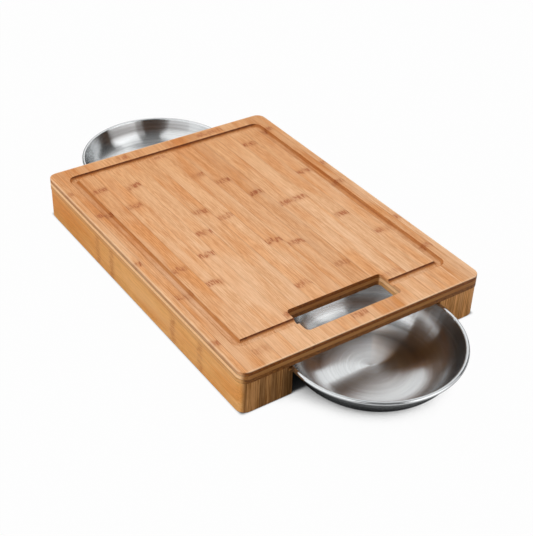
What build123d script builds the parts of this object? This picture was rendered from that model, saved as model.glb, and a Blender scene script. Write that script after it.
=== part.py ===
from build123d import *
import os
from math import ceil, cos, radians, sin

# Cutting board with two bowls that slide out from under it, in millimetres.
# X runs across the board, Y along it with the sweep slot at the front (-Y),
# Z up from the counter. The origin is the bottom centre of the whole object
# with both bowls drawn out as far as they stand at rest.

# Panel: three bamboo plies pressed together
board_length = 450.0
board_width = 325.0
corner_radius = 12.0
top_ply_thickness = 5.0
core_ply_thickness = 5.0
bottom_ply_thickness = 5.0
stave_width = 20.5           # one bamboo strip of the top ply
narrowest_stave = 3.0        # a strip left narrower than this stays part of its neighbour
top_arris = 1.0              # rounding of the worktop's outer edge

# Juice groove, routed with a round-nosed cutter
groove_width = 11.0
groove_depth = 4.0
groove_corner_relief = 0.3   # bend of the cutter's path beyond the cutter's own radius
groove_side_inset = 23.5     # long edge of the board to the groove's middle
groove_back_inset = 25.0     # back edge of the board to the groove's middle

# Sweep slot, through which food drops into the front bowl
slot_length = 130.0
slot_width = 40.0
slot_corner_radius = 5.0
slot_arris = 0.8
slot_front_inset = 43.0      # front edge of the board to the slot's middle

# Rails: upright bamboo laminations, with a lower runner strip on the inside
rail_width = 64.5
rail_height = 41.0
rail_inset = 0.5             # how far the rails stand back from the panel's edge
rail_foot_rounding = 2.0
lamination_count = 8
runner_width = 6.0
runner_rounding = 1.0
rim_slot_height = 6.0        # gap between the runner and the panel

# Bowls: pressed steel sheet with a rolled rim
sheet_thickness = 0.8
rim_roll_diameter = 4.8
rim_side_clearance = 1.4     # rolled rim to the wall of the rim slot
rim_rest_clearance = 0.3     # rolled rim to the runner under it
base_clearance = 0.6         # bowl base to the counter
wall_arc_radius = 40.0       # bend between the flat base and the wall
wall_angle = 70.0            # upper wall, measured from the counter
roll_end_angle = -120.0      # where the curled edge stops, under the roll
front_bowl_reach = 111.5     # how far each bowl stands out at rest
back_bowl_reach = 102.0

# Worked out from the sizes above
panel_thickness = top_ply_thickness + core_ply_thickness + bottom_ply_thickness
board_height = rail_height + panel_thickness
bay_half_width = board_width / 2 - rail_width
rim_slot_half_width = bay_half_width + runner_width
runner_height = rail_height - rim_slot_height
rim_radius = rim_slot_half_width - rim_side_clearance
roll_radius = rim_roll_diameter / 2
roll_middle_height = runner_height + rim_rest_clearance + roll_radius
board_middle_y = (front_bowl_reach - back_bowl_reach) / 2
board_front_y = board_middle_y - board_length / 2
board_back_y = board_middle_y + board_length / 2
slot_middle_y = board_front_y + slot_front_inset
front_bowl_y = board_front_y - front_bowl_reach + rim_radius
back_bowl_y = board_back_y + back_bowl_reach - rim_radius


def slab(x_low, x_high, z_low, z_high):
    """A block over the board's whole length between two widths and two heights."""
    middle = ((x_low + x_high) / 2, board_middle_y, (z_low + z_high) / 2)
    return Pos(*middle) * Box(x_high - x_low, board_length, z_high - z_low)


def board_blank(inset, z_low, z_high):
    """The board's rounded outline, drawn in by an inset, between two heights."""
    outline = RectangleRounded(
        board_width - 2 * inset, board_length - 2 * inset, corner_radius - inset
    )
    return extrude(Pos(0, board_middle_y, z_low) * outline, z_high - z_low)


def groove_cutter():
    """All that the round-nosed cutter takes away on its way round the juice groove."""
    cutter_radius = (groove_width**2 / 4 + groove_depth**2) / (2 * groove_depth)
    path_back_y = board_back_y - groove_back_inset
    path_z = board_height - groove_depth + cutter_radius
    outline = RectangleRounded(
        board_width - 2 * groove_side_inset,
        path_back_y - slot_middle_y,
        cutter_radius + groove_corner_relief,
    )
    placed = Pos(0, (path_back_y + slot_middle_y) / 2, path_z) * outline
    path = placed.faces()[0].outer_wire()
    section = Plane(origin=path @ 0, z_dir=path % 0) * Circle(cutter_radius)
    return sweep(section, path=path)


def panel():
    """The whole three-ply panel with its slot, rounded edges and juice groove."""
    blank = board_blank(0, rail_height, board_height)
    slot = Pos(0, slot_middle_y, rail_height) * RectangleRounded(
        slot_length, slot_width, slot_corner_radius
    )
    blank -= extrude(slot, panel_thickness)
    worktop = blank.faces().sort_by(Axis.Z)[-1]
    blank = fillet(worktop.outer_wire().edges(), top_arris)
    worktop = blank.faces().sort_by(Axis.Z)[-1]
    blank = fillet(worktop.inner_wires()[0].edges(), slot_arris)
    return blank - groove_cutter()


def top_staves(whole_panel):
    """The top ply's strips, counted outwards from the middle; the slot cuts some in two."""
    ply_low = board_height - top_ply_thickness
    half_width = board_width / 2
    per_side = ceil((half_width - stave_width / 2 - narrowest_stave) / stave_width)
    staves = {}
    for number in range(-per_side, per_side + 1):
        x_low = (number - 0.5) * stave_width if number > -per_side else -half_width
        x_high = (number + 0.5) * stave_width if number < per_side else half_width
        strip = whole_panel & slab(x_low, x_high, ply_low, board_height)
        pieces = strip.solids().sort_by(Axis.Y)
        side = "left" if number < 0 else "right"
        name = f"top_stave_{side}_{abs(number)}" if number else "top_stave_middle"
        if len(pieces) == 1:
            staves[name] = pieces[0]
        else:
            staves[name + "_front"] = pieces[0]
            staves[name + "_back"] = pieces[-1]
    return staves


def pressed_ply(whole_panel, z_low, z_high):
    """One of the panel's two lower plies, a single pressed sheet."""
    sheet = whole_panel & slab(-board_width / 2, board_width / 2, z_low, z_high)
    return sheet.solids()[0]


def rail_pieces(side):
    """One rail's laminations, outermost first, and its runner strip."""
    blank = board_blank(rail_inset, 0, rail_height)
    blank = fillet(blank.faces().sort_by(Axis.Z)[0].edges(), rail_foot_rounding)
    rail_outside = board_width / 2 - rail_inset
    step = (rail_outside - rim_slot_half_width) / lamination_count
    prefix = "left" if side < 0 else "right"
    pieces = {}
    for number in range(lamination_count):
        outer = side * (rail_outside - step * number)
        inner = side * (rail_outside - step * (number + 1))
        strip = blank & slab(min(outer, inner), max(outer, inner), 0, rail_height)
        pieces[f"{prefix}_rail_lamination_{number + 1}"] = strip.solids()[0]
    x_pair = sorted((side * bay_half_width, side * rim_slot_half_width))
    runner = (blank & slab(*x_pair, 0, runner_height)).solids()[0]
    bay_face = runner.faces().sort_by(Axis.X)[0 if side > 0 else -1]
    low_edge = bay_face.edges().filter_by(Axis.Y).sort_by(Axis.Z)[0]
    pieces[f"{prefix}_runner"] = fillet(low_edge, runner_rounding).solids()[0]
    return pieces


def bowl(middle_y):
    """A flat-based round bowl: base, bend, leaning wall and curled rim, spun."""
    half = sheet_thickness / 2
    lean = radians(wall_angle)
    base_z = base_clearance + half
    roll = Vector(rim_radius - roll_radius, roll_middle_height)
    curl_radius = roll_radius - half
    rise = roll.Y - base_z - wall_arc_radius
    base_radius = roll.X - (wall_arc_radius + curl_radius + rise * cos(lean)) / sin(lean)
    bend = Vector(base_radius, base_z + wall_arc_radius)

    def side_of_sheet(offset):
        """The sheet's inner (+) or outer (-) face as one run of lines and arcs."""
        bend_radius = wall_arc_radius - offset
        roll_face_radius = curl_radius + offset
        base_line = Line((0, base_z + offset), (base_radius, base_z + offset))
        bend_arc = CenterArc((bend.X, bend.Y), bend_radius, -90, wall_angle)
        roll_arc = CenterArc(
            (roll.X, roll.Y), roll_face_radius, 90 + wall_angle, roll_end_angle - 90 - wall_angle
        )
        wall_line = Line(bend_arc @ 1, roll_arc @ 0)
        return [base_line, bend_arc, wall_line, roll_arc]

    inner = side_of_sheet(half)
    outer = side_of_sheet(-half)
    ends = [Line(inner[0] @ 0, outer[0] @ 0), Line(inner[-1] @ 1, outer[-1] @ 1)]
    section = make_face(Wire(inner + outer + ends))
    spun = revolve(Plane.XZ * section, Axis.Z, 360)
    return Pos(0, middle_y, 0) * spun.solids()[0]


def build_pieces():
    """Every separate piece by name."""
    whole_panel = panel()
    core_low = rail_height + bottom_ply_thickness
    core_high = core_low + core_ply_thickness
    pieces = top_staves(whole_panel)
    pieces["core_ply"] = pressed_ply(whole_panel, core_low, core_high)
    pieces["bottom_ply"] = pressed_ply(whole_panel, rail_height, core_low)
    pieces.update(rail_pieces(-1))
    pieces.update(rail_pieces(1))
    pieces["front_bowl"] = bowl(front_bowl_y)
    pieces["back_bowl"] = bowl(back_bowl_y)
    return pieces


os.makedirs("parts", exist_ok=True)
for name, piece in build_pieces().items():
    piece.label = name
    export_step(piece, f"parts/{name}.step")
print("board", board_width, board_length, board_height)
print("bowl rim radius", rim_radius, "middles at", front_bowl_y, back_bowl_y)
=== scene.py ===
import bmesh
import bpy
import random
from math import cos, radians, sin
from mathutils import Matrix, Vector


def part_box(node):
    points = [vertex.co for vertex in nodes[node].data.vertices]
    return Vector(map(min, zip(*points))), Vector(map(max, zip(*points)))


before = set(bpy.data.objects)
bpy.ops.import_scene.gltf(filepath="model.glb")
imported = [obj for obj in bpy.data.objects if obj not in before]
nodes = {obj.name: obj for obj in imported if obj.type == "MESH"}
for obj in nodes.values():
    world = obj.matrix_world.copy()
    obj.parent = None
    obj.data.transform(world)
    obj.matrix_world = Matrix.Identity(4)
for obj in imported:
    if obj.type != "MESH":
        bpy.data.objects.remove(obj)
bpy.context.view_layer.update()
scene = bpy.context.scene
print("frame loaded,", len(nodes), "pieces")


def tint(code):  # web colour to Blender's linear one
    parts = [int(code[i:i + 2], 16) / 255 for i in (0, 2, 4)]
    return tuple(p / 12.92 if p <= 0.04045 else ((p + 0.055) / 1.055) ** 2.4 for p in parts) + (1.0,)


def newMaterial(name):
    mat = bpy.data.materials.new(name)
    mat.use_nodes = True
    tree = mat.node_tree
    tree.nodes.clear()
    out = tree.nodes.new("ShaderNodeOutputMaterial")
    shader = tree.nodes.new("ShaderNodeBsdfPrincipled")
    tree.links.new(shader.outputs["BSDF"], out.inputs["Surface"])
    return mat, tree, shader


def feed(tree, socket, value):
    if isinstance(value, bpy.types.NodeSocket):
        tree.links.new(value, socket)
    else:
        socket.default_value = value


def calc(tree, operation, a, b=0.0, clamp=False):
    node = tree.nodes.new("ShaderNodeMath")
    node.operation = operation
    node.use_clamp = clamp
    feed(tree, node.inputs[0], a)
    feed(tree, node.inputs[1], b)
    return node.outputs[0]


def mixTint(tree, kind, factor, a, b):
    node = tree.nodes.new("ShaderNodeMix")
    node.data_type = "RGBA"
    node.blend_type = kind
    for index, value in ((0, factor), (6, a), (7, b)):
        feed(tree, node.inputs[index], value)
    return node.outputs[2]


def rangeOf(tree, value, low, high, outLow=0.0, outHigh=1.0, kind="SMOOTHSTEP"):
    node = tree.nodes.new("ShaderNodeMapRange")
    node.interpolation_type = kind
    for socket, item in zip(node.inputs, (value, low, high, outLow, outHigh)):
        feed(tree, socket, item)
    return node.outputs[0]


def near(tree, value, place, outer, inner=0.0):  # 1 within inner of a place, 0 past outer
    gap = calc(tree, "ABSOLUTE", calc(tree, "SUBTRACT", value, place))
    return rangeOf(tree, gap, outer, inner)


def noiseOf(tree, vector, scale, detail=2.0, rough=0.5):  # scale: features per metre along x, y, z
    stretch = tree.nodes.new("ShaderNodeMapping")
    stretch.inputs["Scale"].default_value = scale
    tree.links.new(vector, stretch.inputs["Vector"])
    node = tree.nodes.new("ShaderNodeTexNoise")
    node.inputs["Scale"].default_value = 1.0
    node.inputs["Detail"].default_value = detail
    node.inputs["Roughness"].default_value = rough
    tree.links.new(stretch.outputs[0], node.inputs["Vector"])
    return node.outputs["Fac"]


def splitXyz(tree, vector):
    node = tree.nodes.new("ShaderNodeSeparateXYZ")
    tree.links.new(vector, node.inputs[0])
    return node.outputs


def flatLength(tree, x, y):  # distance from the z axis
    return calc(tree, "SQRT", calc(tree, "ADD", calc(tree, "MULTIPLY", x, x), calc(tree, "MULTIPLY", y, y)))


def addBump(tree, shader, height, strength, distance):
    bump = tree.nodes.new("ShaderNodeBump")
    bump.inputs["Strength"].default_value = strength
    bump.inputs["Distance"].default_value = distance
    tree.links.new(height, bump.inputs["Height"])
    tree.links.new(bump.outputs[0], shader.inputs["Normal"])


def wear(obj, mat):
    for slot in obj.material_slots:
        slot.material = mat


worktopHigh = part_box("top_stave_middle_back")[1].z
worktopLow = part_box("top_stave_middle_back")[0].z
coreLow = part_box("core_ply")[0].z
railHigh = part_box("bottom_ply")[0].z
sideEdge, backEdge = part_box("core_ply")[1].x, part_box("core_ply")[1].y
middleY = (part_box("core_ply")[0].y + backEdge) / 2
staveWidth = 0.0205

bamboo = {
    "longStreaks": (1150, 9, 1150), "shortStreaks": (980, 60, 980), "fibres": (1800, 80, 1800),
    "drift": (46, 9, 46), "clear": (62, 8, 62), "backTint": "F5E9D6", "backTintFrom": -0.05,
    "warm": "F2D09C", "knuckle": "A6562A", "halo": "C88A58", "undersideShade": "C4BCB2", "seam": "6E4120",
    "arrisHighlight": "FFE3BE", "routed": "DCC4A0", "knuckleHalf": 0.0062, "haloHalf": 0.012, "roughness": 0.48,
    "specular": 0.2, "longShare": 0.44, "shortShare": 0.4, "fibreShare": 0.16,
    "ringWaver": (230, 5, 230), "ringSpread": (75, 5, 75), "ringDashes": (640, 95, 640),
    "waverReach": 0.003,
}
worktopWood = {
    "clear": "EABF98", "pale": "F0C297", "mid": "E4AF82", "deep": "C88C56",
    "cutPale": "90521A", "cutDeep": "5E2F0A", "cutStreaks": (300, 3, 1300),
}
coreWood = {
    "clear": "AE7A44", "pale": "AE7A44", "mid": "A26E3A", "deep": "8A5926",
    "cutPale": "FFD09C", "cutDeep": "F4BE86", "cutStreaks": (3, 600, 1300),
}
underWood = {
    "clear": "E8B278", "pale": "E8B074", "mid": "DEA466", "deep": "C68A4A",
    "cutPale": "8C5826", "cutDeep": "5D3512", "cutStreaks": (300, 3, 1300),
}
railWood = {
    "clear": "F0B87E", "pale": "F7BC78", "mid": "EEB06C", "deep": "D69A55",
    "cutPale": "E0A264", "cutDeep": "A66E32", "cutStreaks": (700, 3, 26),
}


def bambooMaterial(name, wood, shift=(0, 0, 0), across=False, tone=1.0, cutToneAndShade=1.0, warmth=0.3,
                   knuckles=(), seams=(), joints=()):
    mat, tree, shader = newMaterial(name)
    coords = tree.nodes.new("ShaderNodeTexCoord")
    turn = tree.nodes.new("ShaderNodeMapping")
    turn.inputs["Location"].default_value = shift
    if across:
        turn.inputs["Rotation"].default_value = (0, 0, radians(90))
    tree.links.new(coords.outputs["Object"], turn.inputs["Vector"])
    grain = turn.outputs[0]
    x, y, z = splitXyz(tree, coords.outputs["Object"])
    facing = splitXyz(tree, coords.outputs["Normal"])
    faceX, faceY, faceZ = (calc(tree, "ABSOLUTE", side) for side in facing)
    along, faceCut = (x, faceX) if across else (y, faceY)

    longStreak = noiseOf(tree, grain, bamboo["longStreaks"], 2.0, 0.6)
    shortStreak = noiseOf(tree, grain, bamboo["shortStreaks"], 2.0, 0.6)
    fibre = noiseOf(tree, grain, bamboo["fibres"], 1.0, 0.5)
    lines = calc(tree, "ADD", calc(tree, "MULTIPLY", longStreak, bamboo["longShare"]),
                 calc(tree, "MULTIPLY", shortStreak, bamboo["shortShare"]))
    lines = calc(tree, "ADD", lines, calc(tree, "MULTIPLY", fibre, bamboo["fibreShare"]))
    color = mixTint(tree, "MIX", rangeOf(tree, lines, 0.41, 0.59), tint(wood["deep"]), tint(wood["pale"]))
    color = mixTint(tree, "MIX", 0.35, color, tint(wood["mid"]))

    drift = noiseOf(tree, grain, bamboo["drift"], 2.0, 0.55)
    warm = calc(tree, "ADD", rangeOf(tree, drift, 0.38, 0.66, 0.0, 0.6), warmth - 0.3, clamp=True)
    color = mixTint(tree, "MIX", warm, color, mixTint(tree, "MULTIPLY", 1.0, color, tint(bamboo["warm"])))

    clear = noiseOf(tree, grain, bamboo["clear"], 1.0, 0.5)
    color = mixTint(tree, "MIX", rangeOf(tree, clear, 0.45, 0.7, 0.0, 0.4), color, tint(wood["clear"]))

    if knuckles:  # the culm's growth rings: a soft patch with ragged dashes in it
        waver = noiseOf(tree, grain, bamboo["ringWaver"], 1.0, 0.5)
        spread = noiseOf(tree, grain, bamboo["ringSpread"], 1.0, 0.5)
        ticks = noiseOf(tree, grain, bamboo["ringDashes"], 2.0, 0.6)
        reach = bamboo["waverReach"]
        wander = calc(tree, "ADD", along, rangeOf(tree, waver, 0.2, 0.8, -reach, reach, kind="LINEAR"))
        mark = halo = 0.0
        for place, strength in knuckles:
            core = near(tree, wander, place, bamboo["knuckleHalf"], 0.0025)
            soft = near(tree, wander, place, bamboo["haloHalf"], 0.002)
            mark = calc(tree, "MAXIMUM", mark, calc(tree, "MULTIPLY", core, strength))
            halo = calc(tree, "MAXIMUM", halo, calc(tree, "MULTIPLY", soft, strength))
        mark = calc(tree, "MULTIPLY", mark, rangeOf(tree, spread, 0.34, 0.5, 0.25, 1.0))
        mark = calc(tree, "MULTIPLY", mark, rangeOf(tree, ticks, 0.43, 0.56, 0.08, 0.95))
        color = mixTint(tree, "MIX", calc(tree, "MULTIPLY", halo, 0.48), color, tint(bamboo["halo"]))
        color = mixTint(tree, "MIX", mark, color, tint(bamboo["knuckle"]))
    for joint in joints:
        color = mixTint(tree, "MIX", calc(tree, "MULTIPLY", near(tree, x, joint, 0.0005), 0.3), color,
                        tint(bamboo["seam"]))

    endLines = noiseOf(tree, coords.outputs["Object"], wood["cutStreaks"], 3.0, 0.65)
    endMix = rangeOf(tree, endLines, 0.38, 0.62)
    ends = mixTint(tree, "MIX", endMix, tint(wood["cutDeep"]), tint(wood["cutPale"]))
    # end-grain tone of each piece; on the left rail it also carries painted shade
    ends = mixTint(tree, "MULTIPLY", 1.0, ends, (cutToneAndShade, cutToneAndShade, cutToneAndShade, 1.0))
    # darker and warmer towards the back end
    backTint = mixTint(tree, "MULTIPLY", 1.0, color, tint(bamboo["backTint"]))
    color = mixTint(tree, "MIX", rangeOf(tree, y, bamboo["backTintFrom"], backEdge, 0.0, 1.0), color, backTint)
    color = mixTint(tree, "MULTIPLY", 1.0, color, (tone, tone, tone, 1.0))
    color = mixTint(tree, "MIX", rangeOf(tree, faceCut, 0.55, 0.9), color, ends)

    # painted shade: faces turned downward are darkened and greyed
    downward = rangeOf(tree, facing[2], -0.5, -0.9)
    shadedUnderside = mixTint(tree, "MULTIPLY", 1.0, color, tint(bamboo["undersideShade"]))
    color = mixTint(tree, "MIX", downward, color, shadedUnderside)
    upright = rangeOf(tree, faceZ, 0.7, 0.3)
    for height in seams:
        line = near(tree, z, height, 0.0007, 0.0001)
        seam = calc(tree, "MULTIPLY", line, calc(tree, "MULTIPLY", upright, 0.4))
        color = mixTint(tree, "MIX", seam, color, tint(bamboo["seam"]))
    fromSide = calc(tree, "SUBTRACT", sideEdge, calc(tree, "ABSOLUTE", x))
    fromMiddle = calc(tree, "ABSOLUTE", calc(tree, "SUBTRACT", y, middleY))
    inFromEdge = calc(tree, "MINIMUM", fromSide, calc(tree, "SUBTRACT", backEdge - middleY, fromMiddle))
    # painted highlight: the worktop's top edge rounding is tinted lighter, standing in for the light that
    # edge catches
    arrisHighlight = calc(tree, "MULTIPLY", rangeOf(tree, z, worktopHigh - 0.0011, worktopHigh - 0.0006),
                 rangeOf(tree, inFromEdge, 0.0028, 0.0008))
    color = mixTint(tree, "MIX", calc(tree, "MULTIPLY", arrisHighlight, 0.3), color, tint(bamboo["arrisHighlight"]))
    # painted shade: the groove's steep cut walls are darkened as the shade of the recess
    grooveShadeMask = calc(tree, "MULTIPLY", rangeOf(tree, faceZ, 0.95, 0.8), rangeOf(tree, faceZ, 0.1, 0.3))
    grooveShadeMask = calc(tree, "MULTIPLY", grooveShadeMask, rangeOf(tree, z, worktopHigh - 0.0001, worktopHigh - 0.0006))
    grooveShadeMask = calc(tree, "MULTIPLY", grooveShadeMask, rangeOf(tree, inFromEdge, 0.012, 0.015))  # the groove's cut sides
    color = mixTint(tree, "MIX", grooveShadeMask, color, mixTint(tree, "MULTIPLY", 1.0, color, tint(bamboo["routed"])))
    tree.links.new(color, shader.inputs["Base Color"])
    gloss = bamboo["roughness"]
    tree.links.new(rangeOf(tree, longStreak, 0.3, 0.7, gloss, gloss + 0.1), shader.inputs["Roughness"])
    shader.inputs["Specular IOR Level"].default_value = bamboo["specular"]
    addBump(tree, shader, lines, 0.12, 0.0002)
    return mat


# growth rings of each worktop strip: mm from the board's back edge, strength
staveMarks = {
    -8: [(57, .5), (230, .9), (393, .8)], -7: [(119, .9), (306, .9)], -6: [(68, .8), (263, .7), (426, .7)],
    -5: [(121, .8), (304, .9)], -4: [(79, .9), (254, .9)], -3: [(10, .6), (213, .8), (394, .8)],
    -2: [(173, .9)], -1: [(32, .5), (197, .6), (356, .7)], 0: [(98, .8), (270, .9), (434, .7)],
    1: [(126, .9), (286, .8)], 2: [(171, 1.0), (348, .5)], 3: [(10, .7), (209, .8), (393, .4)],
    4: [(10, .6), (209, .8), (393, .4)], 5: [(65, 1.0), (265, .9)], 6: [(159, .8), (318, .8)],
    7: [(43, .7), (203, .8), (372, .7)], 8: [(155, .8), (306, .8)],
}
staveWarmth = {-8: .35, -7: .5, -6: .5, -5: .25, -4: .15, -3: .15, -2: .3, -1: .15, 0: .4, 1: .6, 2: .7,
               3: .3, 4: .15, 5: .2, 6: .3, 7: .6, 8: .2}
staveTone = {-8: 1.0, -7: .98, -6: 1.0, -5: 1.02, -4: 1.02, -3: 1.02, -2: 1.0, -1: 1.03, 0: 1.0,
             1: .99, 2: .94, 3: 1.01, 4: 1.02, 5: 1.0, 6: 1.0, 7: .94, 8: 1.0}

draw = random.Random(11)


def anyShift():
    return draw.random() * 3, draw.random() * 3, draw.random()


def dressWorktop():
    for number in sorted(staveMarks):
        low = max((number - .5) * staveWidth, -sideEdge)
        high = min((number + .5) * staveWidth, sideEdge)
        spots = [(backEdge - place / 1000, strength) for place, strength in staveMarks[number]]
        mat = bambooMaterial(f"bambooStave{number + 8:02d}", worktopWood, shift=anyShift(),
                             tone=staveTone[number], warmth=staveWarmth[number], knuckles=spots,
                             seams=(worktopLow,), joints=(low, high))
        for name, obj in nodes.items():
            if name.startswith("top_stave"):
                lo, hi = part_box(name)
                if round((lo.x + hi.x) / 2 / staveWidth) == number:
                    wear(obj, mat)


dressWorktop()
coreMaterial = bambooMaterial("bambooCore", coreWood, across=True, warmth=.1, seams=(coreLow, worktopLow))
wear(nodes["core_ply"], coreMaterial)
underMaterial = bambooMaterial("bambooUnder", underWood, shift=(1.3, .4, 2.2), warmth=.3,
                               seams=(railHigh, coreLow))
wear(nodes["bottom_ply"], underMaterial)
print("panel done")

sideMarks = {"left": [(.0946, .35), (.059, .45), (-.0816, .45), (-.1382, .4)],
             "right": [(.15, .4), (.02, .45), (-.12, .4)]}
# tone of each lamination's end grain, outermost first; the steps between laminations are the wood's own,
# and the left rail's whole set is darker as painted shade
railEndTonesAndShade = {"left": (.54, .74, .72, .48, .64, .46, .58, .42),
             "right": (.96, .88, 1.02, .82, .98, .86, 1.0, .9)}


def dressRail(side):
    for number, tone in enumerate(railEndTonesAndShade[side], 1):
        marks = sideMarks[side] if number == 1 else [(draw.uniform(-.2, .2), .8)]
        mat = bambooMaterial(f"{side}Rail{number}", railWood, shift=anyShift(), cutToneAndShade=tone, warmth=.35,
                             knuckles=marks, seams=(railHigh,))
        wear(nodes[f"{side}_rail_lamination_{number}"], mat)
    mat = bambooMaterial(f"{side}Runner", railWood, shift=anyShift(), cutToneAndShade=.36, tone=.95)
    wear(nodes[f"{side}_runner"], mat)


dressRail("left")
dressRail("right")
print("rails done")

steel = {
    "color": "C9CBCC", "roughness": 0.19, "roughnessSwing": 0.02, "anisotropic": 1.0, "turn": 0.25,
    "rings": (900, 22, 900), "ringShare": 0.72, "broad": (260, 14, 260), "broadShare": 0.28,
}


def steelMaterial(name, centre):
    mat, tree, shader = newMaterial(name)
    coords = tree.nodes.new("ShaderNodeTexCoord")
    place = tree.nodes.new("ShaderNodeMapping")
    place.inputs["Location"].default_value = (-centre.x, -centre.y, 0)
    tree.links.new(coords.outputs["Object"], place.inputs["Vector"])
    x, y, z = splitXyz(tree, place.outputs[0])
    radius = flatLength(tree, x, y)
    polar = tree.nodes.new("ShaderNodeCombineXYZ")
    tree.links.new(radius, polar.inputs[0])
    tree.links.new(calc(tree, "MULTIPLY", calc(tree, "ARCTAN2", y, x), 0.02), polar.inputs[1])
    tree.links.new(z, polar.inputs[2])
    rings = noiseOf(tree, polar.outputs[0], steel["rings"], 3.0, 0.7)
    broad = noiseOf(tree, polar.outputs[0], steel["broad"], 2.0, 0.5)
    both = calc(tree, "ADD", calc(tree, "MULTIPLY", rings, steel["ringShare"]),
                calc(tree, "MULTIPLY", broad, steel["broadShare"]))
    grey = rangeOf(tree, both, 0.36, 0.64, 0.86, 1.06, kind="LINEAR")
    shade = tree.nodes.new("ShaderNodeCombineXYZ")
    for socket in shade.inputs:
        tree.links.new(grey, socket)
    color = mixTint(tree, "MULTIPLY", 1.0, tint(steel["color"]), shade.outputs[0])
    tree.links.new(color, shader.inputs["Base Color"])
    low, high = steel["roughness"] - steel["roughnessSwing"], steel["roughness"] + steel["roughnessSwing"]
    tree.links.new(rangeOf(tree, rings, 0.3, 0.7, low, high, kind="LINEAR"), shader.inputs["Roughness"])
    shader.inputs["Metallic"].default_value = 1.0
    shader.inputs["Anisotropic"].default_value = steel["anisotropic"]
    shader.inputs["Anisotropic Rotation"].default_value = steel["turn"]
    tangent = tree.nodes.new("ShaderNodeTangent")
    tangent.direction_type = "RADIAL"
    tangent.axis = "Z"
    tree.links.new(tangent.outputs[0], shader.inputs["Tangent"])
    addBump(tree, shader, rings, 0.022, 0.00007)
    return mat


for name in ("front_bowl", "back_bowl"):
    lo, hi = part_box(name)
    wear(nodes[name], steelMaterial("steel_" + name, (lo + hi) / 2))
print("bowls done")

studio = {
    "floorTint": 0.3, "floorHalf": 3.0, "shelterReach": 0.12, "paintedBoardShadow": 0.05, "white": 0.98,
    "fill": 0.45, "roomLow": 0.06, "roomHigh": 0.45, "boxEdge": 3,
}
softBoxes = [  # azimuth from +Y towards +X, half width, low edge, high edge (degrees), strength
    (150, 22, 3, 60, 1.7),
]


def addFloor():
    mesh = bmesh.new()
    bmesh.ops.create_grid(mesh, x_segments=1, y_segments=1, size=studio["floorHalf"])
    data = bpy.data.meshes.new("floor")
    mesh.to_mesh(data)
    mesh.free()
    floor = bpy.data.objects.new("floor", data)
    scene.collection.objects.link(floor)
    mat, tree, shader = newMaterial("paleFloor")
    shader.inputs["Base Color"].default_value = (studio["floorTint"],) * 3 + (1,)
    shader.inputs["Roughness"].default_value = 0.9
    path = tree.nodes.new("ShaderNodeLightPath")
    coords = tree.nodes.new("ShaderNodeTexCoord")
    shelter = tree.nodes.new("ShaderNodeAmbientOcclusion")
    shelter.samples = 12
    shelter.inputs["Distance"].default_value = studio["shelterReach"]
    glow = tree.nodes.new("ShaderNodeEmission")
    x, y, z = splitXyz(tree, coords.outputs["Object"])
    halfLength = backEdge - middleY
    # painted shadow: the floor inside the board's footprint is dimmed, in camera view and in reflections
    boardShadowMask = calc(tree, "MULTIPLY", near(tree, x, 0, sideEdge + .002, sideEdge - .006),
                 near(tree, y, middleY, halfLength + .002, halfLength - .006))
    direct = rangeOf(tree, shelter.outputs["AO"], 0.04, 0.36)
    mirrored = rangeOf(tree, shelter.outputs["AO"], 0.5, 1.0, kind="LINEAR")
    mirrored = calc(tree, "MULTIPLY", mirrored, path.outputs["Is Glossy Ray"])
    direct = calc(tree, "MULTIPLY", direct, path.outputs["Is Camera Ray"])
    boardShadowDimming = rangeOf(tree, boardShadowMask, 0.0, 1.0, 1.0, studio["paintedBoardShadow"])
    whiteness = calc(tree, "MULTIPLY", calc(tree, "ADD", direct, mirrored), boardShadowDimming)
    tree.links.new(whiteness, glow.inputs["Strength"])
    mixer = tree.nodes.new("ShaderNodeMixShader")
    out = next(n for n in tree.nodes if n.type == "OUTPUT_MATERIAL")
    seen = calc(tree, "ADD", path.outputs["Is Camera Ray"], path.outputs["Is Glossy Ray"], clamp=True)
    tree.links.new(calc(tree, "MULTIPLY", seen, studio["white"]), mixer.inputs[0])
    tree.links.new(shader.outputs[0], mixer.inputs[1])
    tree.links.new(glow.outputs[0], mixer.inputs[2])
    tree.links.new(mixer.outputs[0], out.inputs["Surface"])
    data.materials.append(mat)


def softBoxGlow(tree, x, y, z, box):
    azimuth, half, low, high, strength = box
    flat = flatLength(tree, x, y)
    toward = calc(tree, "ADD", calc(tree, "MULTIPLY", x, sin(radians(azimuth))),
                  calc(tree, "MULTIPLY", y, cos(radians(azimuth))))
    soft = studio["boxEdge"]
    turned = calc(tree, "DIVIDE", toward, flat)
    side = rangeOf(tree, turned, cos(radians(half + soft)), cos(radians(half - soft)))
    foot = rangeOf(tree, z, sin(radians(low - soft)), sin(radians(low + soft)))
    head = rangeOf(tree, z, sin(radians(high + 4 * soft)), sin(radians(high - 4 * soft)))
    bright = calc(tree, "MULTIPLY", side, strength)
    return calc(tree, "MULTIPLY", bright, calc(tree, "MULTIPLY", foot, head))


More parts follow.
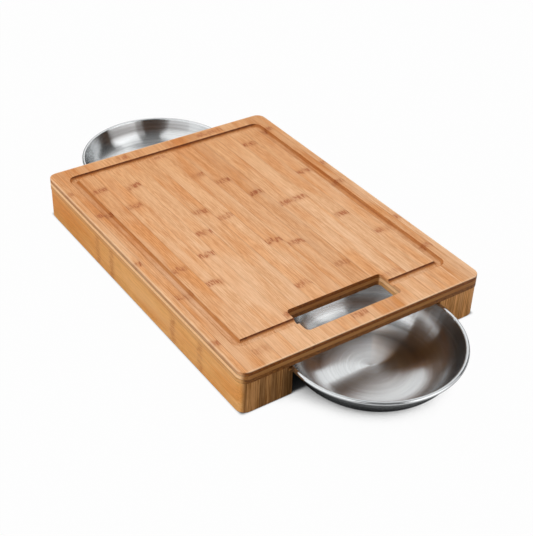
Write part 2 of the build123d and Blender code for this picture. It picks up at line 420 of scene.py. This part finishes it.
def addWorld():
    world = bpy.data.worlds.new("studio")
    scene.world = world
    world.use_nodes = True
    tree = world.node_tree
    tree.nodes.clear()
    out = tree.nodes.new("ShaderNodeOutputWorld")
    path = tree.nodes.new("ShaderNodeLightPath")
    white = tree.nodes.new("ShaderNodeBackground")
    fill = tree.nodes.new("ShaderNodeBackground")
    fill.inputs["Strength"].default_value = studio["fill"]
    seen = calc(tree, "ADD", path.outputs["Is Camera Ray"], path.outputs["Is Transmission Ray"], clamp=True)
    coords = tree.nodes.new("ShaderNodeTexCoord")
    room = tree.nodes.new("ShaderNodeBackground")
    x, y, z = splitXyz(tree, coords.outputs["Generated"])
    glow = rangeOf(tree, z, 0.2, 1.0, studio["roomLow"], studio["roomHigh"])
    for box in softBoxes:
        glow = calc(tree, "MAXIMUM", glow, softBoxGlow(tree, x, y, z, box))
    tree.links.new(glow, room.inputs["Strength"])
    first = tree.nodes.new("ShaderNodeMixShader")
    second = tree.nodes.new("ShaderNodeMixShader")
    tree.links.new(path.outputs["Is Glossy Ray"], first.inputs[0])
    tree.links.new(fill.outputs[0], first.inputs[1])
    tree.links.new(room.outputs[0], first.inputs[2])
    tree.links.new(seen, second.inputs[0])
    tree.links.new(first.outputs[0], second.inputs[1])
    tree.links.new(white.outputs[0], second.inputs[2])
    tree.links.new(second.outputs[0], out.inputs["Surface"])


def addLamp(name, where, size, power, target=(0, 0, 0.03)):
    light = bpy.data.lights.new(name, "AREA")
    light.shape = "RECTANGLE"
    light.size, light.size_y = size
    light.energy = power
    lamp = bpy.data.objects.new(name, light)
    lamp.location = where
    lamp.rotation_euler = (Vector(target) - Vector(where)).to_track_quat("-Z", "Y").to_euler()
    scene.collection.objects.link(lamp)


cameraView = {"azimuth": -35.589, "elevation": 35.748, "roll": 2.266, "distance": 1.2447,
              "target": (-0.0385, -0.08165, 0.056), "lens": 73.96}


def addCamera():
    turn, lift, roll = (radians(cameraView[k]) for k in ("azimuth", "elevation", "roll"))
    back = Vector((sin(turn) * cos(lift), -cos(turn) * cos(lift), sin(lift)))
    right = Vector((0, 0, 1)).cross(back).normalized()
    up = back.cross(right)
    sideways = right * cos(roll) + up * sin(roll)
    upwards = up * cos(roll) - right * sin(roll)
    data = bpy.data.cameras.new("camera")
    data.lens = cameraView["lens"]
    data.clip_start, data.clip_end = 0.05, 20
    camera = bpy.data.objects.new("camera", data)
    place = Matrix((sideways, upwards, back)).transposed().to_4x4()
    place.translation = Vector(cameraView["target"]) + back * cameraView["distance"]
    camera.matrix_world = place
    scene.collection.objects.link(camera)
    scene.camera = camera


addFloor()
addWorld()
addLamp("keyLamp", (0.9, 1.1, 1.7), (3.4, 2.6), 30)
addLamp("leftLamp", (-1.6, 0.0, 1.1), (3.2, 2.4), 33)
addLamp("frontLamp", (0.9, -1.5, 0.65), (2.2, 1.6), 10)
addCamera()
scene.view_settings.view_transform = "Standard"
print("studio done")
